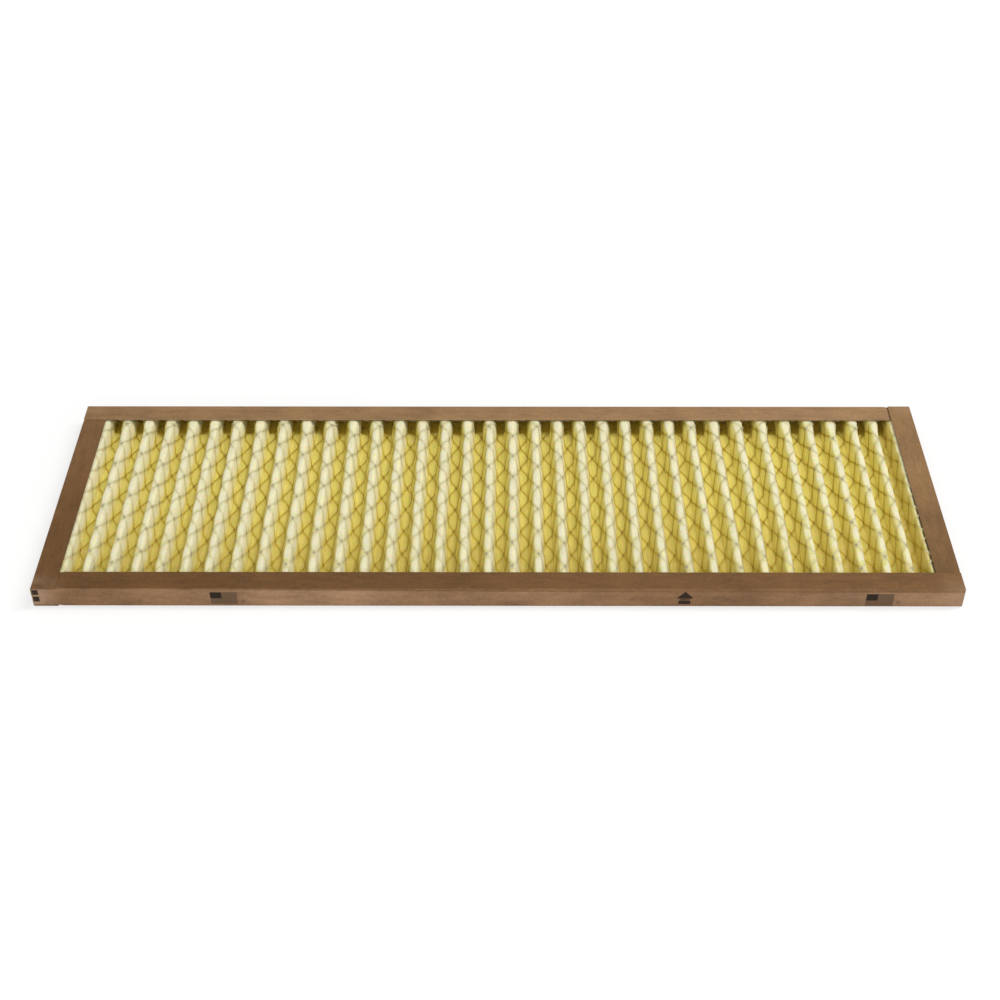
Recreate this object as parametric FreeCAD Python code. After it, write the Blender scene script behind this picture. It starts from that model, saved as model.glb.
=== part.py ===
import FreeCAD, Part
import math
import os

# Pleated panel air filter, in millimetres. The origin is the middle of the lower face, +Z up.
# +X runs along the panel, pleats run along Y, and the face with the metal grid is upward.

# Actual size of a panel sold as 10 x 30 x 1 inch
frame_length = 749.3
frame_width = 241.3
frame_depth = 19.05

# Kraft board channels: a web on the outside with a flange folded over each face of the panel
board = 0.6
flange_width = 20.0
fold_radius = 1.0

# At each corner one channel laps over the next, whose end is stepped down to slide inside it
glue_line = 0.05
seam_gap = 0.3
step_run = 4.0

# Sealant strip between each web and the edge of the pleated pack
sealant = 1.5

# Pleated fibre media with its folds along Y, each fold made of two creases
media = 1.1
pleat_pitch = 20.24
fold_flat = 3.4

# Expanded steel grid bonded to the upper side of the media, its diamonds long along Y
grid = 0.4
strand = 1.3
diamond_length = 57.2

# Room for the pack between the stepped flanges of the corners
step = board + glue_line
pack_low = step + board + glue_line
pack_high = frame_depth - pack_low
pack_length = frame_length - 2 * (board + sealant)
pack_width = frame_width - 2 * (board + sealant)
pleat_half = pleat_pitch / 2
media_low = pack_low + media / 2
media_high = pack_high - grid - media / 2


def arc_edge(place, centre, radius, start, end):
    angles = (start, (start + end) / 2, end)
    points = []
    for angle in angles:
        turn = math.radians(angle)
        points.append(place(centre[0] + radius * math.cos(turn), centre[1] + radius * math.sin(turn)))
    return Part.Arc(*points).toShape()


def channel_profile(along, inset):
    # C section across a rail: y runs inward from the web, and inset shrinks its height at both flanges
    def place(across, height):
        return FreeCAD.Vector(along, across, height)

    low = inset
    high = frame_depth - inset
    upper_fold = (fold_radius, high - fold_radius)
    lower_fold = (fold_radius, low + fold_radius)
    inner_radius = fold_radius - board
    edges = [
        Part.makeLine(place(flange_width, high), place(fold_radius, high)),
        arc_edge(place, upper_fold, fold_radius, 90, 180),
        Part.makeLine(place(0, high - fold_radius), place(0, low + fold_radius)),
        arc_edge(place, lower_fold, fold_radius, 180, 270),
        Part.makeLine(place(fold_radius, low), place(flange_width, low)),
        Part.makeLine(place(flange_width, low), place(flange_width, low + board)),
        Part.makeLine(place(flange_width, low + board), place(fold_radius, low + board)),
        arc_edge(place, lower_fold, inner_radius, 270, 180),
        Part.makeLine(place(board, low + fold_radius), place(board, high - fold_radius)),
        arc_edge(place, upper_fold, inner_radius, 180, 90),
        Part.makeLine(place(fold_radius, high - board), place(flange_width, high - board)),
        Part.makeLine(place(flange_width, high - board), place(flange_width, high)),
    ]
    return Part.Wire(edges)


def channel(start, end, inset):
    return Part.Face(channel_profile(start, inset)).extrude(FreeCAD.Vector(end - start, 0, 0))


def turned(shape, half_span, turn):
    # Moves a shape built along X at y = 0 out to one side of the panel
    shape.translate(FreeCAD.Vector(0, -half_span, 0))
    shape.rotate(FreeCAD.Vector(0, 0, 0), FreeCAD.Vector(0, 0, 1), turn)
    return shape


def rail(length, half_span, turn):
    tucked_tip = -length / 2 + fold_radius
    step_outer = -length / 2 + flange_width + seam_gap
    step_inner = step_outer + step_run
    tongue = channel(tucked_tip, step_outer, step)
    ramp_ends = [channel_profile(step_outer, step), channel_profile(step_inner, 0)]
    ramp = Part.makeLoft(ramp_ends, True, True)
    body = channel(step_inner, length / 2, 0)
    whole = tongue.fuse([ramp, body]).removeSplitter()
    return turned(whole, half_span, turn)


def sealant_strip(length, half_span, turn):
    margin = fold_radius - board + glue_line
    low = pack_low + margin
    corner = FreeCAD.Vector(-length / 2, board, low)
    strip = Part.makeBox(length, sealant, frame_depth - 2 * low, corner)
    return turned(strip, half_span, turn)


def ridge_places():
    # As many ridges as leave a valley and a leg at each end
    room = pack_length - 2 * (pleat_half + fold_flat / 2)
    count = int(room // pleat_pitch) + 1
    return [(index - (count - 1) / 2) * pleat_pitch for index in range(count)]


def pleat_line():
    # Middle line of the media from the left web to the right one, as (x, z) points
    ridges = ridge_places()
    folds = [(ridges[0] - pleat_half, media_low)]
    for ridge in ridges:
        folds.append((ridge, media_high))
        folds.append((ridge + pleat_half, media_low))
    points = [(-pack_length / 2 + media / 2, media_high)]
    for fold, height in folds:
        points.append((fold - fold_flat / 2, height))
        points.append((fold + fold_flat / 2, height))
    points.append((pack_length / 2 - media / 2, media_high))
    return points


def shifted_line(points, distance):
    # Moves an open line to its left by a distance, with mitred corners
    normals = []
    for start, end in zip(points, points[1:]):
        run = math.dist(start, end)
        normals.append(((start[1] - end[1]) / run, (end[0] - start[0]) / run))
    before = normals[:1] + normals
    after = normals + normals[-1:]
    shifted = []
    for (x, z), first, second in zip(points, before, after):
        share = distance / (1 + first[0] * second[0] + first[1] * second[1])
        shifted.append((x + share * (first[0] + second[0]), z + share * (first[1] + second[1])))
    return shifted


def pleated_sheet(lower, upper):
    # Sheet along the pleats between two distances from the media's middle line
    middle = pleat_line()
    outline = shifted_line(middle, lower) + shifted_line(middle, upper)[::-1]
    corners = [FreeCAD.Vector(x, -pack_width / 2, z) for x, z in outline]
    face = Part.Face(Part.makePolygon(corners + corners[:1]))
    return face.extrude(FreeCAD.Vector(0, pack_width, 0))


def bond_places(half_bond):
    # Bonds lie half a diamond apart along the folds: even ones in the valleys, odd ones on the ridges
    half_diamond = diamond_length / 2
    count = int((pack_width - 2 * half_bond) // half_diamond)
    return [(index - count / 2) * half_diamond for index in range(count + 1)]


def bond_marks(bonds, fold, half_bond):
    # y values of the corners of each bond on a fold. The outermost bonds are cut in half
    marks = []
    for index in range(fold % 2, len(bonds), 2):
        inward = [bonds[index] - half_bond] if index > 0 else []
        outward = [bonds[index] + half_bond] if index < len(bonds) - 1 else []
        marks.append(inward + [bonds[index]] + outward)
    return marks


def strand_marks(bonds, fold, half_bond):
    # y values of the corners of each strand at the fold it leaves and at the next fold
    marks = []
    for index in range(len(bonds) - 1):
        low = [bonds[index], bonds[index] + half_bond]
        high = [bonds[index + 1] - half_bond, bonds[index + 1]]
        marks.append((low, high) if index % 2 == fold % 2 else (high, low))
    return marks


def polygon_face(points):
    return Part.Face(Part.makePolygon(points + points[:1]))


def crease_points(crease, marks):
    return [FreeCAD.Vector(crease[0], y, crease[1]) for y in marks]


def grid_piece(creases, near, far):
    # Faces of a bond or strand between two creases, each given by its lower and upper (x, z) point
    rims = []
    for side in (0, 1):
        rims.append(crease_points(creases[0][side], near) + crease_points(creases[1][side], far)[::-1])
    lower, upper = rims
    faces = [polygon_face(lower), polygon_face(upper)]
    for first, second in ((0, -1), (len(near) - 1, len(near))):
        faces.append(polygon_face([lower[first], lower[second], upper[second], upper[first]]))
    return faces


def grid_end(crease, marks):
    return polygon_face(crease_points(crease[0], marks) + crease_points(crease[1], marks)[::-1])


def support_grid():
    # Each diamond reaches from crease to crease, so every bond and strand is a flat piece.
    # A bond is as long as the two strands that leave it on one side, measured along the fold
    wall_length = math.hypot(pleat_half - fold_flat, media_high - media_low)
    half_bond = strand / math.sin(math.atan2(wall_length, diamond_length / 2))
    bonds = bond_places(half_bond)
    middle = pleat_line()
    surfaces = [shifted_line(middle, media / 2), shifted_line(middle, media / 2 + grid)]
    creases = list(zip(*surfaces))[1:-1]
    faces = []
    for index, pair in enumerate(zip(creases, creases[1:])):
        fold = index // 2
        if index % 2 == 0:
            pieces = [(marks, marks) for marks in bond_marks(bonds, fold, half_bond)]
        else:
            pieces = strand_marks(bonds, fold, half_bond)
        for near, far in pieces:
            faces += grid_piece(pair, near, far)
    last_fold = len(creases) // 2 - 1
    faces += [grid_end(creases[0], marks) for marks in bond_marks(bonds, 0, half_bond)]
    faces += [grid_end(creases[-1], marks) for marks in bond_marks(bonds, last_fold, half_bond)]
    shell = Part.makeShell(faces)
    shell.sewShape()
    return Part.Solid(shell)


def build():
    half_length = frame_length / 2
    half_width = frame_width / 2
    long_strip = frame_length - 2 * board
    short_strip = pack_width
    return {
        "front_rail": rail(frame_length, half_width, 0),
        "right_rail": rail(frame_width, half_length, 90),
        "back_rail": rail(frame_length, half_width, 180),
        "left_rail": rail(frame_width, half_length, 270),
        "front_sealant": sealant_strip(long_strip, half_width, 0),
        "right_sealant": sealant_strip(short_strip, half_length, 90),
        "back_sealant": sealant_strip(long_strip, half_width, 180),
        "left_sealant": sealant_strip(short_strip, half_length, 270),
        "pleated_media": pleated_sheet(-media / 2, media / 2),
        "support_grid": support_grid(),
    }


os.makedirs("parts", exist_ok=True)
for node, shape in build().items():
    shape.exportStep(f"parts/{node}.step")
    print(node, len(shape.Solids), "solid", round(shape.Volume), "mm3", shape.isValid())
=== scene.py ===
import bisect
import math
import random

import bpy
from mathutils import Matrix, Vector


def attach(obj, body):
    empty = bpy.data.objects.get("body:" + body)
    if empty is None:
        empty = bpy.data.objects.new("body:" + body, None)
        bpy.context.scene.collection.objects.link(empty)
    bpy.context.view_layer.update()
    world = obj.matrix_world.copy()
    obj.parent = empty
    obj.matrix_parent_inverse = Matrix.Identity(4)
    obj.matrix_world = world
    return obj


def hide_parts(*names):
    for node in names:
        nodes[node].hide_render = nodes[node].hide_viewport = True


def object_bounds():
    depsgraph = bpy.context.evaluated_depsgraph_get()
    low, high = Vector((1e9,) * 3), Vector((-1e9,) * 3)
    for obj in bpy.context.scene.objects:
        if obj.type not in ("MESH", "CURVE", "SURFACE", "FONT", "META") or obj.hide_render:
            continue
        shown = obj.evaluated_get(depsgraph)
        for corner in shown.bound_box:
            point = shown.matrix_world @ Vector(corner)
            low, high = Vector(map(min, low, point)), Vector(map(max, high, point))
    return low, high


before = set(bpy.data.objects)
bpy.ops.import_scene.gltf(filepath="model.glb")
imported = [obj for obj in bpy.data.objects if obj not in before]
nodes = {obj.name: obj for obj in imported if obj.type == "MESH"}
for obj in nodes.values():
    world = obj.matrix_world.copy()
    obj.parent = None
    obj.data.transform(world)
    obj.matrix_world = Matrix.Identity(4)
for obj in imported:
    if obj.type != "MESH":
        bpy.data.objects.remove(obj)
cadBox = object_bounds()
print("frame loaded:", len(nodes), "nodes")


noiseMiddle = 0.5  # a noise's mean value


# Shader maths. A Flow is one output of a node, so that sums on it are written as sums
class Flow:
    def __init__(self, maker, socket):
        self.maker = maker
        self.socket = socket

    def __add__(self, other):
        return self.maker.sum("ADD", self, other)

    def __radd__(self, other):
        return self.maker.sum("ADD", other, self)

    def __sub__(self, other):
        return self.maker.sum("SUBTRACT", self, other)

    def __rsub__(self, other):
        return self.maker.sum("SUBTRACT", other, self)

    def __mul__(self, other):
        return self.maker.sum("MULTIPLY", self, other)

    def __rmul__(self, other):
        return self.maker.sum("MULTIPLY", other, self)

    def __truediv__(self, other):
        return self.maker.sum("DIVIDE", self, other)

    def __rtruediv__(self, other):
        return self.maker.sum("DIVIDE", other, self)

    def __pow__(self, other):
        return self.maker.sum("POWER", self, other)

    def __abs__(self):
        return self.maker.sum("ABSOLUTE", self)


class NodeMaker:
    def __init__(self, tree):
        self.tree = tree
        tree.nodes.clear()

    # Any node: its type, its settings, which are set first, and its sockets' values or links
    def node(self, kind, settings=None, sockets=None, out=0):
        made = self.tree.nodes.new(kind)
        for name, value in (settings or {}).items():
            setattr(made, name, value)
        for key, value in (sockets or {}).items():
            if isinstance(value, Flow):
                self.tree.links.new(value.socket, made.inputs[key])
            else:
                made.inputs[key].default_value = value
        if out == "all" or not made.outputs:
            return [Flow(self, socket) for socket in made.outputs]
        return Flow(self, made.outputs[out])

    def sum(self, operation, first, second=0.0):
        return self.node("ShaderNodeMath", {"operation": operation}, {0: first, 1: second})

    def larger(self, first, second):
        return self.sum("MAXIMUM", first, second)

    # 0 at start and before it, 1 at end and past it, and smooth between them. Start may be the larger
    def ramp(self, value, start, end):
        settings = {"interpolation_type": "SMOOTHSTEP"}
        sockets = {"Value": value, "From Min": start, "From Max": end}
        return self.node("ShaderNodeMapRange", settings, sockets)

    # The same, rising to a share in place of 1
    def fade(self, value, start, end, share):
        return self.ramp(value, start, end) * share

    # 1 between low and high, with soft ends
    def band(self, value, low, high, soft):
        rise = self.ramp(value, low - soft, low + soft)
        return rise * (1 - self.ramp(value, high - soft, high + soft))

    def blend(self, share, first, second, kind="MIX"):
        settings = {"data_type": "RGBA", "blend_type": kind}
        return self.node("ShaderNodeMix", settings, {0: share, 6: first, 7: second}, out=2)

    # A colour made darker or paler by a level around 1
    def shaded(self, colour, level):
        grey = self.node("ShaderNodeCombineXYZ", None, {0: level, 1: level, 2: level})
        return self.blend(1.0, colour, grey, "MULTIPLY")

    def place(self):
        return self.node("ShaderNodeTexCoord", out="Object")

    def parts(self, vector):
        return self.node("ShaderNodeSeparateXYZ", None, {"Vector": vector}, out="all")

    def stretched(self, place, scale, turn=0.0):
        sockets = {"Vector": place, "Scale": scale, "Rotation": (0, 0, turn)}
        return self.node("ShaderNodeMapping", None, sockets)

    def noise(self, place, scale, detail, rough, warp=0.0):
        sockets = {"Vector": place, "Scale": scale, "Detail": detail}
        sockets.update({"Roughness": rough, "Distortion": warp})
        return self.node("ShaderNodeTexNoise", None, sockets)


# A colour as a paint program gives it, from 0 to 255, turned to Blender's linear values
def paint(red, green, blue):
    levels = []
    for value in (red, green, blue):
        share = value / 255
        levels.append(share / 12.92 if share < 0.04045 else ((share + 0.055) / 1.055) ** 2.4)
    return (*levels, 1.0)


def newFinish(name):
    material = bpy.data.materials.new(name)
    material.use_nodes = True
    return material, NodeMaker(material.node_tree)


# The shader and the output of a finish. Relief is a height in millimetres
def closeFinish(maker, sockets, relief):
    bumpSockets = {"Height": relief, "Distance": 0.001, "Strength": 1.0}
    sockets["Normal"] = maker.node("ShaderNodeBump", None, bumpSockets)
    shader = maker.node("ShaderNodeBsdfPrincipled", None, sockets)
    maker.node("ShaderNodeOutputMaterial", None, {"Surface": shader})


def dress(name, finish):
    nodes[name].data.materials.clear()
    nodes[name].data.materials.append(finish)


def pickNone():
    if bpy.context.object and bpy.context.object.mode != "OBJECT":
        bpy.ops.object.mode_set(mode="OBJECT")
    bpy.ops.object.select_all(action="DESELECT")


def applyModifier(piece, kind, **settings):
    modifier = piece.modifiers.new(kind.lower(), kind)
    for name, value in settings.items():
        setattr(modifier, name, value)
    bpy.context.view_layer.objects.active = piece
    bpy.ops.object.modifier_apply(modifier=modifier.name)


# Camera, at the photograph's viewing angle
cameraView = {
    "place": (0.005534, -1.064531, 0.922553),
    "downward": 40.6133,  # degrees below level
    "sideways": 0.2082,
    "tilt": -0.0765,
    "lens": 58.71,
}


def makeCamera():
    bpy.ops.object.camera_add(location=cameraView["place"])
    camera = bpy.context.object
    camera.name = "photoCamera"
    camera.data.lens = cameraView["lens"]
    aim = Matrix.Rotation(math.radians(cameraView["sideways"]), 3, "Z")
    aim = aim @ Matrix.Rotation(math.radians(90 - cameraView["downward"]), 3, "X")
    aim = aim @ Matrix.Rotation(math.radians(cameraView["tilt"]), 3, "Z")
    camera.rotation_euler = aim.to_euler()
    bpy.context.scene.camera = camera


# Light and floor. The world and the floor look white, and the lamps are plain
studio = {
    "worldLight": 0.46,
    "keyPlace": (2.2, 0.62, 3.75),
    "keySize": (0.8, 2.5),  # narrow along the pleats and long across them
    "keyPower": 92.0,
    "fillPlace": (-0.2, -1.6, 0.8),
    "fillSize": (1.4, 1.4),
    "fillPower": 12.0,
    "floorSize": 6.0,
    "floorDrop": 0.0002,  # under the panel's lower face
    "floorColour": paint(244, 244, 243),
    "glow": 1.12,
    "nearGlow": 0.58,  # share of the floor's look that no shadow darkens, beside the panel
    "farGlow": 0.95,
    "glowReach": (0.02, 0.16),  # distances from the panel between which it grows
}


def addLamp(name, place, size, power):
    bpy.ops.object.light_add(type="AREA", location=place)
    lamp = bpy.context.object
    lamp.name = name
    lamp.data.shape = "RECTANGLE"
    lamp.data.size = size[0]
    lamp.data.size_y = size[1]
    lamp.data.energy = power
    lamp.rotation_euler = Vector(place).to_track_quat("Z", "Y").to_euler()


# 1 for rays that show the background: camera, glossy and transmission rays
def seenRay(maker):
    rays = maker.node("ShaderNodeLightPath", out="all")
    named = {flow.socket.name: flow for flow in rays}
    seen = maker.larger(named["Is Camera Ray"], named["Is Glossy Ray"])
    return maker.larger(seen, named["Is Transmission Ray"])


def makeStudio():
    addLamp("keyLamp", studio["keyPlace"], studio["keySize"], studio["keyPower"])
    addLamp("fillLamp", studio["fillPlace"], studio["fillSize"], studio["fillPower"])
    world = bpy.data.worlds.new("studioAir")
    world.use_nodes = True
    bpy.context.scene.world = world
    maker = NodeMaker(world.node_tree)
    strength = studio["worldLight"] + (1 - studio["worldLight"]) * seenRay(maker)
    air = maker.node("ShaderNodeBackground", None, {"Color": (1, 1, 1, 1), "Strength": strength})
    maker.node("ShaderNodeOutputWorld", None, {"Surface": air})

    bpy.ops.mesh.primitive_plane_add(size=studio["floorSize"], location=(0, 0, -studio["floorDrop"]))
    floor = bpy.context.object
    bpy.ops.object.transform_apply()
    floor.name = "studioFloor"
    material, maker = newFinish("whiteFloor")
    matt = maker.node("ShaderNodeBsdfDiffuse", None, {"Color": studio["floorColour"]})
    glow = maker.node("ShaderNodeEmission", None, {"Color": (1, 1, 1, 1), "Strength": studio["glow"]})
    x, y = maker.parts(maker.place())[:2]
    apart = maker.larger(abs(x) - cadBox[1][0], abs(y) - cadBox[1][1])
    growth = maker.fade(apart, *studio["glowReach"], studio["farGlow"] - studio["nearGlow"])
    share = (studio["nearGlow"] + growth) * seenRay(maker)
    both = maker.node("ShaderNodeMixShader", None, {0: share, 1: matt, 2: glow})
    maker.node("ShaderNodeOutputMaterial", None, {"Surface": both})
    floor.data.materials.append(material)


makeCamera()
makeStudio()
bpy.context.scene.view_settings.view_transform = "Standard"
print("camera, lamps and floor made")


# Kraft board of the frame's channels. In all the dictionaries a noise is (scale, detail, roughness,
# warp), and a fade is (start, end, share). Places along the panel and across it are x and y
kraft = {
    "panelLength": 0.7493,
    "panelWidth": 0.2413,
    "panelDepth": 0.01905,
    "drawn": 0.22,  # the paper's grain is drawn out along each rail
    "cloud": (22, 3, 0.55),  # shades some 40 mm wide
    "mottle": (210, 4, 0.62, 0.3),  # uneven pulp
    "pulp": (420, 3, 0.6, 0.4),
    "straws": (1500, 3, 0.7, 0.6),
    "levels": (0.7, 0.8, 0.55, 0.45),  # how far each of the four above changes the board's shade
    "relief": (0.25, 0.05, 0.0, 0.045),  # and its height, in mm
    "roughness": 0.78,
    "roughSpread": 0.2,
    "specular": 0.2,
    "speck": (1100, 2, 0.5),
    "speckFade": (0.66, 0.74, 0.35),
    "speckColour": paint(84, 60, 38),
    "strawFade": (0.62, 0.75, 0.25),
    "strawColour": paint(176, 146, 112),
    "webSpan": (0.0011, 0.0002),  # distances from the outer face between which the web's shade begins
    "cutSpan": (0.01998, 0.0199),  # the flange's cut edge lies just past these
    "cutCoreAndLight": paint(176, 143, 107),
    "seamShadowFade": (0.3530, 0.3537, 0.8),  # painted shadow of the gap where the right rail laps over the back one
    "seamShadowColour": paint(72, 50, 32),
    "cornerReach": (0.03, 0.022),
    "rubbedSpots": (0.3, 0.6),
    "rubbedX": (-0.34, -0.36),  # most of all at the front left corner
    "rubbedY": (-0.1, -0.115),
    "rubbedLeast": 0.25,
    "rubbedColour": paint(178, 148, 120),
    "foldPaleSpan": (0.0009, 0.0004),
    "foldPaleRise": (0.0086, 0.0091),  # distances from the panel's middle height
    "foldPaleSpots": (0.35, 0.7),
    "foldPaleShare": 0.15,
    "foldPaleColour": paint(168, 138, 104),
    "ink": paint(34, 22, 14),
    "inkLight": paint(92, 71, 53),
    "inkSpan": (0.0007, 0.0002),
    "inkGaps": (0.62, 0.74, 0.35),
    "inkShares": (0.95, 0.8),
    # Shades of each rail's flange and web, and the shade far along it with the fade towards that: partly
    # board tone, partly painted light, paler at the back and right, darker at the front and left, and
    # the front and left webs painted lighter than their flanges
    "tonesAndLight": {
        "front_rail": {
            "along": "X",
            "flange": paint(103, 71, 39),
            "web": paint(143, 110, 80),
            "far": paint(130, 96, 61),
            "farFade": (-0.36, 0.38, 0.5),
            "seed": 0.0,
        },
        "right_rail": {
            "along": "Y",
            "flange": paint(143, 110, 73),
            "web": paint(141, 109, 76),
            "far": paint(108, 79, 46),
            "farFade": (0.06, -0.11, 0.85),
            "seed": 3.1,
        },
        "back_rail": {
            "along": "X",
            "flange": paint(148, 115, 78),
            "web": paint(143, 111, 77),
            "far": paint(158, 124, 88),
            "farFade": (-0.2, 0.36, 0.8),
            "seed": 6.4,
        },
        "left_rail": {
            "along": "Y",
            "flange": paint(106, 74, 42),
            "web": paint(139, 108, 75),
            "far": paint(124, 91, 57),
            "farFade": (-0.05, 0.1, 0.85),
            "seed": 9.7,
        },
    },
    # The front rail, whose flange's shade runs over the fold, further down and softer towards the right
    "front": {
        "foldTop": 0.0004,
        "foldDrop": (-0.37, 0.2, 0.0029),
        "foldSoft": 0.0008,
        "turnedSpan": (0.0009, 0.0003),
        "turnedShare": 0.3,  # of the web's shade on the curve of the fold, as painted light where the curve turns from the lamps
        "bright": paint(162, 128, 98),
        "brightBand": (-0.20, -0.09, 0.03),
        "brightEnd": (0.23, 0.33, 0.7),
        "dull": paint(127, 94, 64),
        "dullBand": (0.08, 0.24, 0.06),
        "dullEnd": (-0.22, -0.34),
        "unevenShare": 0.6,
    },
    # Ink marks on the front web, as (x from, x to, z from, z to) in millimetres
    "inkMarks": {
        "bars": [
            (-374.6, -368.8, 12.2, 17.6),
            (-374.6, -368.8, 4.8, 10.4),
            (145.6, 155.4, 2.8, 6.4),
            (-231, -221.9, 8.6, 15.3),
            (296.5, 305.5, 7.0, 14.0),
        ],
        "barSoft": 0.25,
        "arrow": (150.75, 6.9, 9.0, 16.6),  # middle, half width, foot and tip
        "arrowStem": [(146.4, 154.8, 6.2, 8.9)],
        "arrowSoft": 0.2,
        "stemShare": 0.7,
        "patches": [(-231, -209.4, 2.6, 15.5), (296, 318.5, 1.2, 14.3)],
        "patchSoft": 0.3,
        "specks": [(-206.0, -203.2, 3.8, 7.4), (321.0, 323.4, 3.4, 6.6)],
        "speckSoft": 0.4,
        "speckShare": 0.6,
    },
}


# Where the strong ink lies and where the faint ink does
def inkMasks(maker, x, z):
    marks = kraft["inkMarks"]
    wide = x * 1000
    high = z * 1000

    def boxes(places, soft):
        whole = None
        for left, right, foot, top in places:
            one = maker.band(wide, left, right, soft) * maker.band(high, foot, top, soft)
            whole = one if whole is None else maker.larger(whole, one)
        return whole

    middle, halfWidth, foot, tip = marks["arrow"]
    soft = marks["arrowSoft"]
    reach = (tip - high) * (halfWidth / (tip - foot))
    arrow = maker.ramp(reach - abs(wide - middle), -soft, soft) * maker.band(high, foot, tip, soft)
    stem = boxes(marks["arrowStem"], marks["barSoft"]) * marks["stemShare"]
    strong = maker.larger(maker.larger(boxes(marks["bars"], marks["barSoft"]), arrow), stem)
    specks = boxes(marks["specks"], marks["speckSoft"]) * marks["speckShare"]
    return strong, maker.larger(boxes(marks["patches"], marks["patchSoft"]), specks)


def kraftFinish(name):
    toneAndLight = kraft["tonesAndLight"][name]
    front = kraft["front"]
    material, maker = newFinish("kraftBoard_" + name)
    place = maker.place()
    x, y, z = maker.parts(place)
    halfLength = kraft["panelLength"] / 2
    halfWidth = kraft["panelWidth"] / 2
    if toneAndLight["along"] == "X":
        onward, across, halfSpan, drawn = x, abs(y), halfWidth, (kraft["drawn"], 1, 1)
    else:
        onward, across, halfSpan, drawn = y, abs(x), halfLength, (1, kraft["drawn"], 1)

    # A ramp between two distances from the rail's outer face
    def inward(span):
        return maker.ramp(across, halfSpan - span[0], halfSpan - span[1])

    moved = maker.node("ShaderNodeMapping", None, {"Vector": place, "Location": (toneAndLight["seed"], 0, 0)})
    grain = maker.stretched(moved, drawn)
    cloud = maker.noise(moved, *kraft["cloud"])
    mottle = maker.noise(grain, *kraft["mottle"])
    pulp = maker.noise(moved, *kraft["pulp"])
    straws = maker.noise(grain, *kraft["straws"])
    speck = maker.noise(moved, *kraft["speck"])

    webShare = inward(kraft["webSpan"])
    if name == "front_rail":
        foldLine = kraft["panelDepth"] - front["foldTop"] - maker.fade(x, *front["foldDrop"])
        soft = front["foldSoft"]
        webShare = webShare * (1 - maker.ramp(z - foldLine, -soft, soft))
    # Flange and web shades, then the shade far along the rail: partly board tone, partly painted light
    colour = maker.blend(webShare, toneAndLight["flange"], toneAndLight["web"])
    far = maker.fade(onward, *toneAndLight["farFade"])
    if name != "right_rail":  # there the web changes too
        far = far * (1 - webShare)
    colour = maker.blend(far, colour, toneAndLight["far"])
    if name == "front_rail":
        # Painted light: the web's lighter shade laid on the fold's curve, which turns from the lamps
        turned = inward(front["turnedSpan"]) * (1 - webShare) * front["turnedShare"]
        colour = maker.blend(turned, colour, toneAndLight["web"])
        uneven = webShare * front["unevenShare"]
        brightEnd = maker.fade(x, *front["brightEnd"])
        bright = maker.larger(maker.band(x, *front["brightBand"]), brightEnd)
        colour = maker.blend(bright * uneven, colour, front["bright"])
        dullEnd = maker.ramp(x, *front["dullEnd"])
        dull = maker.larger(dullEnd, maker.band(x, *front["dullBand"]))
        colour = maker.blend(dull * uneven, colour, front["dull"])
    if name == "back_rail":
        # Painted shadow along the lap where the right rail lies over the back one
        colour = maker.blend(maker.fade(x, *kraft["seamShadowFade"]), colour, kraft["seamShadowColour"])
        # The back flange's cut edge painted paler: partly the board's pale core, partly painted light
        # where the lamps leave it in shade
        colour = maker.blend(1 - inward(kraft["cutSpan"]), colour, kraft["cutCoreAndLight"])
    level = 1
    relief = 0
    layers = zip((cloud, mottle, pulp, straws), kraft["levels"], kraft["relief"])
    for value, levelShare, reliefShare in layers:
        level = level + (value - noiseMiddle) * levelShare
        relief = relief + value * reliefShare
    colour = maker.shaded(colour, level)
    colour = maker.blend(maker.fade(speck, *kraft["speckFade"]), colour, kraft["speckColour"])
    colour = maker.blend(maker.fade(straws, *kraft["strawFade"]), colour, kraft["strawColour"])

    # Paler where the board is folded and where its corners are rubbed
    reachX, reachY = kraft["cornerReach"]
    corner = maker.ramp(abs(x), halfLength - reachX, halfLength)
    corner = corner * maker.ramp(abs(y), halfWidth - reachY, halfWidth)
    least = kraft["rubbedLeast"]
    rubbed = maker.ramp(x, *kraft["rubbedX"]) * maker.ramp(y, *kraft["rubbedY"]) * (1 - least) + least
    rubbed = rubbed * corner * maker.ramp(cloud, *kraft["rubbedSpots"])
    colour = maker.blend(rubbed, colour, kraft["rubbedColour"])
    # A paler line along the top and bottom folds
    rise = maker.ramp(abs(z - kraft["panelDepth"] / 2), *kraft["foldPaleRise"])
    foldPale = inward(kraft["foldPaleSpan"]) * rise * maker.ramp(mottle, *kraft["foldPaleSpots"])
    colour = maker.blend(foldPale * kraft["foldPaleShare"], colour, kraft["foldPaleColour"])
    if name == "front_rail":
        strong, faint = inkMasks(maker, x, z)
        onWeb = inward(kraft["inkSpan"]) * (1 - maker.fade(mottle, *kraft["inkGaps"]))
        strongShare, faintShare = kraft["inkShares"]
        colour = maker.blend(faint * onWeb * faintShare, colour, kraft["inkLight"])
        colour = maker.blend(strong * onWeb * strongShare, colour, kraft["ink"])
    rough = kraft["roughness"] + (mottle - noiseMiddle) * kraft["roughSpread"]
    sockets = {"Base Color": colour, "Roughness": rough, "Specular IOR Level": kraft["specular"]}
    closeFinish(maker, sockets, relief)
    return material


for name in kraft["tonesAndLight"]:
    dress(name, kraftFinish(name))
print("kraft board finished on four rails")


# Adhesive between the frame and the pack
sealant = {
    "lumps": (160, 3, 0.6, 0.5),
    "fine": (900, 2, 0.5),
    "paleLumps": (0.35, 0.7),
    "dark": paint(196, 178, 132),
    "pale": paint(228, 214, 176),
    "roughness": 0.45,
    "roughSpread": 0.25,
    "relief": (0.6, 0.08),
}


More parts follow.
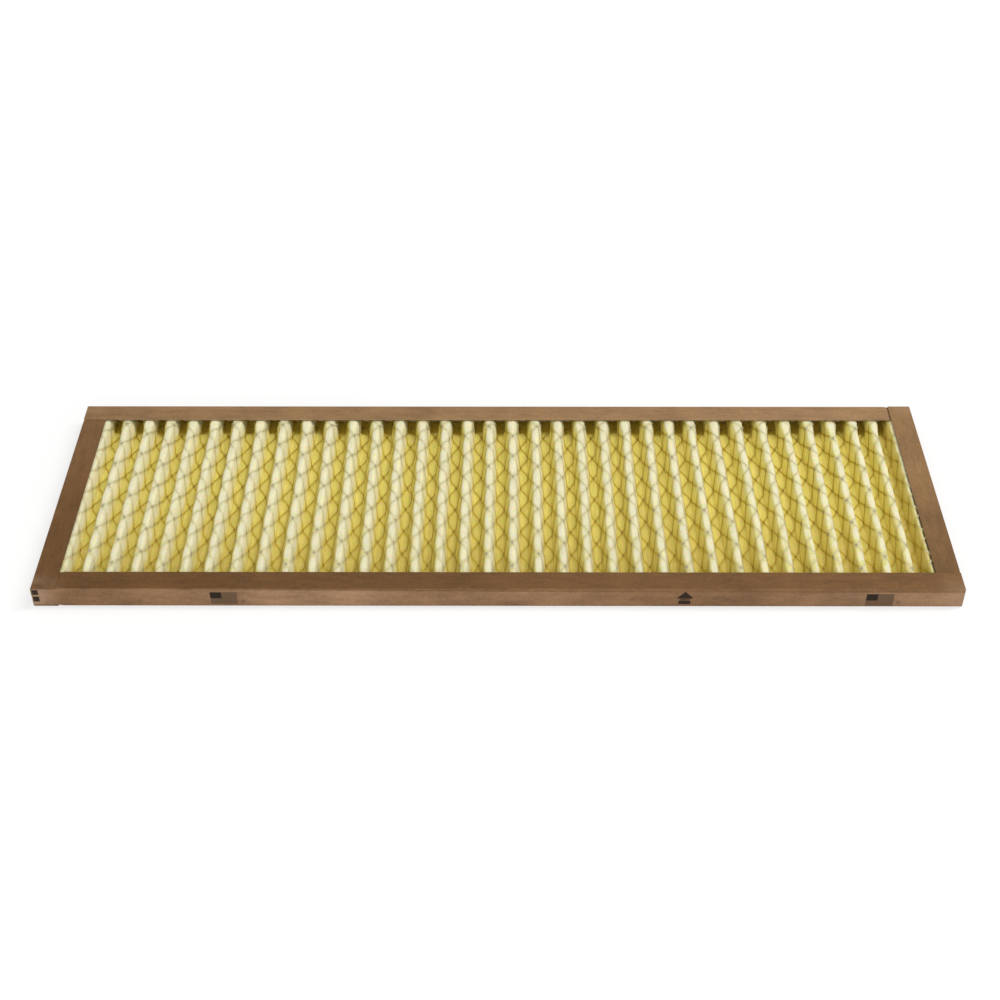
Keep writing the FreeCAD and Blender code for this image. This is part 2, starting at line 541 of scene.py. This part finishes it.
def sealantFinish():
    material, maker = newFinish("driedAdhesive")
    place = maker.place()
    lumps = maker.noise(place, *sealant["lumps"])
    fine = maker.noise(place, *sealant["fine"])
    colour = maker.blend(maker.ramp(lumps, *sealant["paleLumps"]), sealant["dark"], sealant["pale"])
    rough = sealant["roughness"] + fine * sealant["roughSpread"]
    relief = lumps * sealant["relief"][0] + fine * sealant["relief"][1]
    closeFinish(maker, {"Base Color": colour, "Roughness": rough}, relief)
    return material


adhesive = sealantFinish()
for name in ("front_sealant", "right_sealant", "back_sealant", "left_sealant"):
    dress(name, adhesive)
print("adhesive finished on four strips")


# Pleats that the fibre sheet and the metal grid share
pleats = {
    "ridges": 36,
    "pitch": 0.02024,
    "top": 0.0168,  # middle of the sheet on a ridge
    "bottom": 0.00235,
    "ridgeRadius": 0.0016,
    "ridgeFlat": 0.0018,
    "valleyRadius": 0.0014,
    "valleyFlat": 0.0058,
    "arcSteps": 3,  # to a quarter turn
    "wallSteps": 3,
    "shift": -0.0007,
    "drift": (0.0034, -0.0030, 0.0003, -0.0018),  # ridges crowd at the ends and open out between
    "unevenAcross": 0.00022,
    "unevenHigh": 0.00035,
    "seed": 5,
    "legRise": 0.0113,  # height of the cut ends past the end valleys' arcs
    "bends": ((0.19, 0.033, -0.0050), (0.315, 0.03, 0.0036)),  # middle, spread and size at the back
    "flare": 0.5,  # share by which the ridges widen where the back flange presses on them
    "flareFrom": 0.088,
    "flareRun": 0.012,
    "flareFoot": 0.005,  # height where the widening begins, and how much higher it is full
    "flareRise": 0.009,
    "flareReach": 0.008,
    "wander": (("X", 0.0016), ("Z", 0.0005)),
    "wanderScale": 0.07,
}


# Centres (x, z, up or down) of the folds' arcs, from the valley at the left end to the one at the right
def foldCentres():
    luck = random.Random(pleats["seed"])
    last = pleats["ridges"] - 1
    ridges = []
    for index in range(pleats["ridges"]):
        ridge = (index - last / 2) * pleats["pitch"] + pleats["shift"]
        for turn, size in enumerate(pleats["drift"], 1):
            ridge += size * math.sin(math.pi * turn * index / last)
        ridges.append(ridge + luck.uniform(-1, 1) * pleats["unevenAcross"])
    valleys = [ridges[0] - pleats["pitch"] / 2]
    for first, second in zip(ridges, ridges[1:]):
        valleys.append((first + second) / 2 + luck.uniform(-1, 1) * pleats["unevenAcross"])
    valleys.append(ridges[-1] + pleats["pitch"] / 2)
    centres = []
    for index, x in enumerate(valleys):
        z = pleats["bottom"] + pleats["valleyRadius"] + luck.uniform(0, 1) * pleats["unevenHigh"]
        centres.append((x, z, -1))
        if index < len(ridges):
            z = pleats["top"] - pleats["ridgeRadius"] - luck.uniform(0, 1) * pleats["unevenHigh"]
            centres.append((ridges[index], z, 1))
    return centres


# Points (x, z) of the pleats' line, its length at each of them and at the middle of each valley
def pleatLine():
    reach = pleats["ridgeRadius"] + pleats["valleyRadius"]
    flats = (pleats["ridgeFlat"] + pleats["valleyFlat"]) / 2
    centres = foldCentres()
    slopes = []
    for (x, z, _), (nextX, nextZ, _) in zip(centres, centres[1:]):
        across = nextX - x - flats
        drop = abs(nextZ - z)
        slopes.append(math.atan2(drop, across) + math.asin(reach / math.hypot(across, drop)))
    slopes = slopes[:1] + slopes + slopes[-1:]
    x, z = centres[0][:2]
    radius = pleats["valleyRadius"]
    footX = x - pleats["valleyFlat"] / 2 - radius * math.sin(slopes[0])
    footZ = z - radius * math.cos(slopes[0])
    run = pleats["legRise"] / math.tan(slopes[0])
    points = [(footX - run, footZ + pleats["legRise"])]
    valleyPoints = []

    def addWall(end):
        start = points[-1]
        for step in range(1, pleats["wallSteps"]):
            share = step / pleats["wallSteps"]
            wallX = start[0] + (end[0] - start[0]) * share
            points.append((wallX, start[1] + (end[1] - start[1]) * share))

    def addArc(x, z, bend, start, end):
        for step in range(pleats["arcSteps"] + 1):
            angle = start + (end - start) * step / pleats["arcSteps"]
            points.append((x + abs(bend) * math.sin(angle), z + bend * math.cos(angle)))

    for index, (x, z, up) in enumerate(centres):
        bend = pleats["ridgeRadius"] if up > 0 else -pleats["valleyRadius"]
        half = (pleats["ridgeFlat"] if up > 0 else pleats["valleyFlat"]) / 2
        before = slopes[index]
        after = slopes[index + 1]
        addWall((x - half - abs(bend) * math.sin(before), z + bend * math.cos(before)))
        addArc(x - half, z, bend, -before, 0)
        if up < 0:
            valleyPoints.append(len(points) - 1)
        addArc(x + half, z, bend, 0, after)
    foot = points[-1]
    run = pleats["legRise"] / math.tan(slopes[-1])
    end = (foot[0] + run, foot[1] + pleats["legRise"])
    addWall(end)
    points.append(end)
    stops = [0.0]
    for first, second in zip(points, points[1:]):
        stops.append(stops[-1] + math.dist(first, second))
    return points, stops, [(stops[point] + stops[point + 1]) / 2 for point in valleyPoints]


linePoints, lineStops, valleyStops = pleatLine()
flatLength = lineStops[-1]
lineFacing = [0.0]  # at each point: 1 on walls that face right, -1 on those that face left
for before, after in zip(linePoints, linePoints[2:]):
    lineFacing.append((before[1] - after[1]) / math.dist(before, after))
lineFacing.append(0.0)


def makePleatGuide():
    pickNone()
    bpy.ops.curve.primitive_bezier_curve_add(location=(0, 0, 0))
    guide = bpy.context.object
    guide.name = "pleatGuide"
    guide.data.splines.clear()
    spline = guide.data.splines.new("POLY")
    spline.points.add(len(linePoints) - 1)
    for point, (x, z) in zip(spline.points, linePoints):
        point.co = (x, 0, z, 1)
    guide.data.twist_mode = "Z_UP"
    return guide


def clamped(value):
    return min(1.0, max(0.0, value))


# The folds aren't quite straight: at the back some bend and all widen, and both pieces wander by
# the same soft cloud
def addWander(piece, clouds):
    ridges = [x for x, z, up in foldCentres() if up > 0]
    for vertex in piece.data.vertices:
        pressed = clamped((vertex.co.y - pleats["flareFrom"]) / pleats["flareRun"])
        upper = clamped((vertex.co.z - pleats["flareFoot"]) / pleats["flareRise"])
        ridge = min(ridges, key=lambda place: abs(place - vertex.co.x))
        if abs(ridge - vertex.co.x) < pleats["flareReach"]:
            vertex.co.x += (vertex.co.x - ridge) * pleats["flare"] * pressed * upper
        reach = vertex.co.y / (2 * fibre["halfWidth"]) + 0.5
        shift = 0.0
        for middle, spread, size in pleats["bends"]:
            shift += size * reach * math.exp(-(((vertex.co.x - middle) / spread) ** 2) / 2)
        vertex.co.x += shift
    for axis, strength in pleats["wander"]:
        settings = {"texture": clouds, "texture_coords": "GLOBAL", "direction": axis}
        applyModifier(piece, "DISPLACE", strength=strength, mid_level=0.5, **settings)


pleatGuide = makePleatGuide()
clouds = bpy.data.textures.new("pleatWander", "CLOUDS")
clouds.noise_scale = pleats["wanderScale"]
clouds.noise_depth = 1
print("pleat line:", len(linePoints), "points,", round(flatLength, 4), "m flat")


# Expanded metal, measured on the flat sheet
mesh = {
    "columnsPerPleat": 5,  # columns of bonds to a pleat, which gains a little on each pleat
    "gainPerPleat": 0.0011,
    "longWay": 0.0283,  # from bond to bond along the pleats
    "bondHalf": 0.00145,
    "bondSide": 0.0013,
    "bondTip": 0.0022,
    "strandSteps": 3,
    "thickness": 0.0002,
    "twist": 14,  # degrees that a strand has turned at its middle
    "lift": 0.00092,  # middle of the metal over the middle of the fibre sheet
    "anchorValley": 18,
    "anchorPast": 0.0039,  # a column of bonds lies this far past that valley's bottom
    "anchorAlong": 0.0222,
    "askew": -0.0045,  # radians by which the metal lies turned on the flat fibre sheet
    "halfWidth": 0.1184,
    "endGap": 0.004,  # from the flat sheet's ends to the metal's
    "merge": 0.00001,
    "smoothAngle": 40,
    # Dull steel, golden and darker down in the pleats as painted reflection of the fibre around it and
    # painted shade
    "patch": (120, 3, 0.6),
    "grain": (2200, 2, 0.6),
    "grey": (paint(222, 214, 170), paint(204, 196, 146)),
    "bondWaves": (0.4, 0.12),
    "bond": paint(146, 136, 108),
    "bondShare": 0.7,
    "deepFrom": (15.5, 9.0),
    "deepStrand": paint(202, 176, 46),
    "deepBond": paint(152, 126, 36),
    "deepShare": 0.92,
    "roughness": 0.42,
    "roughSpread": 0.25,
    "metallic": 0.15,
    "specular": 0.3,
    "relief": 0.03,
}

pleatLength = (valleyStops[-1] - valleyStops[0]) / pleats["ridges"]
mesh["columnStep"] = (pleatLength + mesh["gainPerPleat"]) / mesh["columnsPerPleat"]

# Fibre sheet, which swells a little through the grid's diamonds
fibre = {
    "halfWidth": 0.11855,
    "rows": 64,
    "thickness": 0.0011,
    "swell": 0.0006,
    "swellCurve": 0.9,
    "pressedPast": (0.355, 0.103),  # the sheet is pressed flat past these, under the flanges
    "pressedRun": 0.006,
    "cloud": (90, 3, 0.6),
    "tuft": (500, 3, 0.65, 1.0),
    "fleck": (230, 2, 0.5),
    "hair": (1800, 2, 0.7, 1.5),
    "hairWays": (((1, 0.3, 1), 0.5), ((0.3, 1, 1), 0.4)),
    "streak": (440, 3, 0.65),
    "streakDrawn": 0.08,  # along the folds
    # Colours by height in millimetres: gold on the floors, straw on the walls and cream on the ridges;
    # partly the sheet's own colour, partly painted light, with pale ridges and golden painted shade down
    # in the pleats
    "keyLitReach": 5.2,  # painted light: mm by which the pale shades reach lower on the walls that face right, towards the key lamp
    "uneven": 3,  # mm by which clouds and flecks each move them
    "pillow": 6,  # and the diamonds, with painted shade along the pressed lines under the strands
    "pillowCurve": 0.5,
    "pillowMean": 0.6,
    "nearer": (0.02, -0.1),  # painted shade: towards the front the ridges are narrower and the floors duller and darker, as less light falls there
    "nearerDrop": 2.4,
    "nearerShare": 0.6,
    "nearerDark": 0.06,
    # painted light: towards the right the pale shades are narrower and the sheet a little lighter
    "rightward": (0.12, 0.3),
    "rightDrop": 1.6,
    "rightLight": 0.025,
    "gold": paint(238, 224, 120),
    "frontGold": paint(223, 200, 104),
    "straw": paint(233, 223, 150),
    "strawFrom": (7.0, 13.0),
    "cream": paint(236, 231, 198),
    "creamFrom": (13.6, 15.2),
    "creamStreaks": 6,
    "creamGaps": (0.5, 0.66, 0.45),
    # painted shade in the creases at the foot of the walls and on the walls beside the right rail
    "crease": paint(196, 172, 84),
    "footSlopes": (0.25, 0.8, 0.15),
    "footFrom": (8, 5),
    "footShare": 0.4,
    "besideX": (0.332, 0.35),  # painted shade by the right rail
    "besideFrom": (14.0, 12.0),
    "besideShare": 0.5,
    "warm": paint(244, 212, 150),
    "warmFade": (0.52, 0.68, 0.5),
    "green": paint(214, 222, 120),
    "greenFade": (0.48, 0.32, 0.4),
    "flangeShade": paint(192, 164, 52),  # painted shade on the floors of the pleats' ends, under the flanges
    "flangeShadeY": (0.0975, 0.102),
    "flangeShadeFrom": (9.0, 3.5),
    "ragged": (70, 2, 0.5),
    "raggedDrawn": (1, 0.25, 0.25),
    "raggedSize": 0.02,
    "gapShadow": paint(84, 66, 30),  # painted shadow under the right flange's edge
    "gapShadowX": (0.3530, 0.3545),
    "gapShadowFade": (0.07, -0.03, 0.9),
    "tuftLevel": 0.2,
    "hairLevel": 0.2,
    "streakLevel": 0.6,
    "pillowLevel": 0.14,
    "pillowRelief": 0.14,
    "tuftRelief": 0.10,
    "hairRelief": 0.05,
    "roughness": 0.95,
    "specular": 0.2,
}


# Phases of the two families of strands at a place on the flat sheet, as numbers or as Flows
def strandPhases(along, y):
    across = along - (valleyStops[mesh["anchorValley"]] + mesh["anchorPast"])
    onward = y - mesh["anchorAlong"]
    column = (across + mesh["askew"] * onward) / mesh["columnStep"]
    row = (onward - mesh["askew"] * across) / (mesh["longWay"] / 2)
    return (column - row) * (math.pi / 2), (column + row) * (math.pi / 2)


# 0 on the strands and 1 in the middle of each diamond
def swellAt(along, y):
    rising, falling = strandPhases(along, y)
    return abs(math.sin(rising) * math.sin(falling))


# The same for shaders: two waves that are 0 along one family of strands each, and both 0 on the bonds
def strandWaves(maker, along, y):
    return [abs(maker.sum("SINE", phase)) for phase in strandPhases(along, y)]


def makeFibreSheet():
    pickNone()
    columns = len(lineStops)
    bpy.ops.mesh.primitive_grid_add(x_subdivisions=columns - 1, y_subdivisions=fibre["rows"], size=1)
    sheet = bpy.context.object
    sheet.name = "pleatedFibreSheet"
    flat = sheet.data.attributes.new("flatPlace", "FLOAT_VECTOR", "POINT")
    pastX, pastY = fibre["pressedPast"]
    for vertex in sheet.data.vertices:
        column = round((vertex.co.x + 0.5) * (columns - 1))
        along = lineStops[column]
        y = vertex.co.y * 2 * fibre["halfWidth"]
        flat.data[vertex.index].vector = (along, y, lineFacing[column])
        room = min(pastY - abs(y), pastX - abs(linePoints[column][0]))
        free = clamped(room / fibre["pressedRun"])
        lift = fibre["swell"] * swellAt(along, y) ** fibre["swellCurve"] * free
        vertex.co = (along, y, lift)
    applyModifier(sheet, "CURVE", object=pleatGuide, deform_axis="POS_X")
    addWander(sheet, clouds)
    applyModifier(sheet, "SOLIDIFY", thickness=fibre["thickness"], offset=0.0)
    bpy.ops.object.shade_smooth()
    return sheet


# The place on the flat sheet, and the way that the wall there faces
def flatParts(maker):
    flat = maker.node("ShaderNodeAttribute", {"attribute_name": "flatPlace"}, None, out="Vector")
    return maker.parts(flat)


def fibreFinish():
    material, maker = newFinish("yellowFibreMat")
    place = maker.place()
    x, y, z = maker.parts(place)
    along, row, facing = flatParts(maker)
    sheetPlace = maker.node("ShaderNodeCombineXYZ", None, {0: along, 1: row, 2: 0.0})
    cloud = maker.noise(sheetPlace, *fibre["cloud"])
    tuft = maker.noise(sheetPlace, *fibre["tuft"])
    fleck = maker.noise(sheetPlace, *fibre["fleck"])
    hairs = []
    for scale, turn in fibre["hairWays"]:
        hairs.append(maker.noise(maker.stretched(sheetPlace, scale, turn), *fibre["hair"]))
    streak = maker.noise(maker.stretched(sheetPlace, (1, fibre["streakDrawn"], 1)), *fibre["streak"])

    rising, falling = strandWaves(maker, along, row)
    pillow = (rising * falling) ** fibre["pillowCurve"]  # pressed lines under the strands
    puffed = pillow - fibre["pillowMean"]
    nearer = maker.ramp(y, *fibre["nearer"])
    rightward = maker.ramp(x, *fibre["rightward"])
    # Painted light and shade in the paleness: paler high on the ridges, on walls facing the key lamp and
    # between the strands, less pale towards the front and the right
    high = z * 1000
    paleness = high + (cloud - noiseMiddle) * fibre["uneven"] + facing * fibre["keyLitReach"]
    paleness = paleness + puffed * fibre["pillow"] + (fleck - noiseMiddle) * fibre["uneven"]
    paleness = paleness - nearer * fibre["nearerDrop"] - rightward * fibre["rightDrop"]

    floor = maker.blend(nearer * fibre["nearerShare"], fibre["gold"], fibre["frontGold"])
    colour = maker.blend(maker.ramp(paleness, *fibre["strawFrom"]), floor, fibre["straw"])
    cream = maker.ramp(paleness + (streak - noiseMiddle) * fibre["creamStreaks"], *fibre["creamFrom"])
    cream = cream * (1 - maker.fade(streak, *fibre["creamGaps"]))
    colour = maker.blend(cream, colour, fibre["cream"])
    # Painted shade at the foot of the walls and on the walls beside the right rail
    foot = maker.band(abs(facing), *fibre["footSlopes"]) * maker.ramp(high, *fibre["footFrom"])
    colour = maker.blend(foot * fibre["footShare"], colour, fibre["crease"])
    beside = maker.ramp(x, *fibre["besideX"]) * maker.ramp(paleness, *fibre["besideFrom"])
    colour = maker.blend(beside * fibre["besideShare"], colour, fibre["crease"])
    colour = maker.blend(maker.fade(fleck, *fibre["warmFade"]), colour, fibre["warm"])
    colour = maker.blend(maker.fade(fleck, *fibre["greenFade"]), colour, fibre["green"])
    # Painted shade under the flanges, with a ragged edge, on the floors and lower walls
    ragged = maker.noise(maker.stretched(place, fibre["raggedDrawn"]), *fibre["ragged"])
    ragged = abs(y) + (ragged - noiseMiddle) * fibre["raggedSize"]
    flangeShade = maker.ramp(ragged, *fibre["flangeShadeY"]) * maker.ramp(high, *fibre["flangeShadeFrom"])
    colour = maker.blend(flangeShade, colour, fibre["flangeShade"])
    # Painted shadow under the right flange's edge, along the front part
    gapShadow = maker.ramp(x, *fibre["gapShadowX"]) * maker.fade(y, *fibre["gapShadowFade"])
    colour = maker.blend(gapShadow, colour, fibre["gapShadow"])

    level = 1 + (tuft - noiseMiddle) * fibre["tuftLevel"] + (streak - noiseMiddle) * fibre["streakLevel"]
    relief = pillow * fibre["pillowRelief"] + tuft * fibre["tuftRelief"]
    for hair in hairs:
        level = level + (hair - noiseMiddle) * fibre["hairLevel"]
        relief = relief + hair * fibre["hairRelief"]
    # Painted shade along the strands, lighter on the swelling between them
    level = level + puffed * fibre["pillowLevel"]
    # Painted light: darker towards the front and a little lighter towards the right
    level = level - nearer * fibre["nearerDark"] + rightward * fibre["rightLight"]
    colour = maker.shaded(colour, level)
    sockets = {"Base Color": colour, "Roughness": fibre["roughness"]}
    sockets["Specular IOR Level"] = fibre["specular"]
    closeFinish(maker, sockets, relief)
    return material


fibreSheet = makeFibreSheet()
fibreSheet.data.materials.append(fibreFinish())
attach(fibreSheet, "root")
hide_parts("pleated_media")
2 * fibre["halfWidth"]
print("fibre sheet:", len(fibreSheet.data.polygons), "faces")


def pickVertices(piece, test):
    bpy.ops.object.mode_set(mode="OBJECT")
    for part in (piece.data.polygons, piece.data.edges, piece.data.vertices):
        part.foreach_set("select", [False] * len(part))
    for vertex in piece.data.vertices:
        vertex.select = test(vertex.co)
    bpy.ops.object.mode_set(mode="EDIT")
    bpy.ops.mesh.select_mode(type="VERT")


def mergeDoubles():
    bpy.ops.mesh.select_all(action="SELECT")
    bpy.ops.mesh.remove_doubles(threshold=mesh["merge"])


def makeGrid():
    pickNone()
    half = mesh["bondHalf"]
    side = mesh["bondSide"]
    tip = mesh["bondTip"]
    step = mesh["columnStep"]
    longWay = mesh["longWay"]
    near = 0.9  # corners past this share of a length are picked with its end
    bpy.ops.mesh.primitive_plane_add(size=1, location=(0, 0, 0))
    grid = bpy.context.object
    grid.name = "expandedGrid"

    # A quarter of a bond, its slanting end drawn out into half a strand
    bpy.ops.object.mode_set(mode="EDIT")
    bpy.ops.transform.resize(value=(half, tip, 1))
    bpy.ops.transform.translate(value=(half / 2, tip / 2, 0))
    pickVertices(grid, lambda co: co.x > half * near and co.y > tip * near)
    bpy.ops.transform.translate(value=(0, side - tip, 0))
    pickVertices(grid, lambda co: co.y > side * near)
    across = (step - half) / 2 / mesh["strandSteps"]
    onward = (longWay / 4 - (side + tip) / 2) / mesh["strandSteps"]
    turn = math.radians(mesh["twist"]) / mesh["strandSteps"]
    for part in range(1, mesh["strandSteps"] + 1):
        bpy.ops.mesh.extrude_region_move(TRANSFORM_OT_translate={"value": (across, onward, 0)})
        middle = (half / 2 + across * part, (side + tip) / 2 + onward * part, 0)
        bpy.ops.transform.rotate(value=turn, orient_axis="Y", center_override=middle)
    bpy.ops.object.mode_set(mode="OBJECT")
    applyModifier(grid, "MIRROR", use_axis=(False, True, False), merge_threshold=mesh["merge"])

    # The other side is the same one turned over, so that all strands lean the same way
    bpy.ops.object.mode_set(mode="EDIT")
    bpy.ops.mesh.select_all(action="SELECT")
    bpy.ops.mesh.duplicate()
    bpy.ops.transform.rotate(value=math.pi, orient_axis="Y", center_override=(0, 0, 0))
    mergeDoubles()
    bpy.ops.mesh.normals_make_consistent(inside=False)
    bpy.ops.object.mode_set(mode="OBJECT")
    if sum(face.normal.z for face in grid.data.polygons) < 0:
        bpy.ops.object.mode_set(mode="EDIT")
        bpy.ops.mesh.flip_normals()

    # The bond of the next column stands half a diamond on, and the pair is repeated both ways
    bpy.ops.object.mode_set(mode="EDIT")
    bpy.ops.mesh.select_all(action="SELECT")
    bpy.ops.mesh.duplicate_move(TRANSFORM_OT_translate={"value": (step, longWay / 2, 0)})
    mergeDoubles()
    bpy.ops.object.mode_set(mode="OBJECT")
    anchor = valleyStops[mesh["anchorValley"]] + mesh["anchorPast"]
    before = math.ceil(anchor / (2 * step)) + 1
    after = math.ceil((flatLength - anchor) / (2 * step)) + 1
    rows = math.ceil(2 * mesh["halfWidth"] / longWay) + 2
    joined = {"use_relative_offset": False, "use_constant_offset": True, "use_merge_vertices": True}
    joined["merge_threshold"] = mesh["merge"]
    applyModifier(grid, "ARRAY", count=rows, constant_offset_displace=(0, longWay, 0), **joined)
    columns = before + after
    applyModifier(grid, "ARRAY", count=columns, constant_offset_displace=(2 * step, 0, 0), **joined)

    # Laid on the flat sheet, turned a little and cut to size
    rowsBelow = math.ceil((mesh["anchorAlong"] + mesh["halfWidth"]) / longWay + 0.5)
    low = mesh["anchorAlong"] - rowsBelow * longWay
    bpy.ops.object.mode_set(mode="EDIT")
    mergeDoubles()
    bpy.ops.transform.translate(value=(anchor - before * 2 * step, low, mesh["lift"]))
    centre = (anchor, mesh["anchorAlong"], mesh["lift"])
    bpy.ops.transform.rotate(value=-mesh["askew"], orient_axis="Z", center_override=centre)
    cuts = (
        ((mesh["endGap"], 0, 0), (-1, 0, 0)),
        ((flatLength - mesh["endGap"], 0, 0), (1, 0, 0)),
        ((0, -mesh["halfWidth"], 0), (0, -1, 0)),
        ((0, mesh["halfWidth"], 0), (0, 1, 0)),
    )
    for place, outward in cuts:
        bpy.ops.mesh.select_all(action="SELECT")
        bpy.ops.mesh.bisect(plane_co=place, plane_no=outward, clear_outer=True)
    bpy.ops.object.mode_set(mode="OBJECT")
    flat = grid.data.attributes.new("flatPlace", "FLOAT_VECTOR", "POINT")
    for vertex in grid.data.vertices:
        facing = lineFacing[bisect.bisect(lineStops, vertex.co.x) - 1]
        flat.data[vertex.index].vector = (vertex.co.x, vertex.co.y, facing)
    applyModifier(grid, "CURVE", object=pleatGuide, deform_axis="POS_X")
    addWander(grid, clouds)
    applyModifier(grid, "SOLIDIFY", thickness=mesh["thickness"], offset=0.0)
    bpy.ops.object.shade_smooth_by_angle(angle=math.radians(mesh["smoothAngle"]))
    return grid


def steelFinish():
    material, maker = newFinish("dullGridSteel")
    place = maker.place()
    z = maker.parts(place)[2]
    along, row, facing = flatParts(maker)
    rising, falling = strandWaves(maker, along, row)
    bond = maker.ramp(maker.larger(rising, falling), *mesh["bondWaves"])
    patch = maker.noise(place, *mesh["patch"])
    grain = maker.noise(place, *mesh["grain"])
    # Painted reflection and shade: golden down in the pleats, reaching less far down on walls facing the
    # key lamp
    deep = maker.fade(z * 1000 + facing * fibre["keyLitReach"], *mesh["deepFrom"], mesh["deepShare"])
    colour = maker.blend(patch, *mesh["grey"])
    colour = maker.blend(bond * mesh["bondShare"], colour, mesh["bond"])
    colour = maker.blend(deep, colour, maker.blend(bond, mesh["deepStrand"], mesh["deepBond"]))
    sockets = {"Base Color": colour, "Roughness": mesh["roughness"] + grain * mesh["roughSpread"]}
    sockets.update({"Metallic": mesh["metallic"], "Specular IOR Level": mesh["specular"]})
    closeFinish(maker, sockets, grain * mesh["relief"])
    return material


steelGrid = makeGrid()
steelGrid.data.materials.append(steelFinish())
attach(steelGrid, "root")
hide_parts("support_grid")
bpy.data.objects.remove(pleatGuide)
steelGrid.data.calc_loop_triangles()
print("steel grid:", len(steelGrid.data.loop_triangles), "triangles")
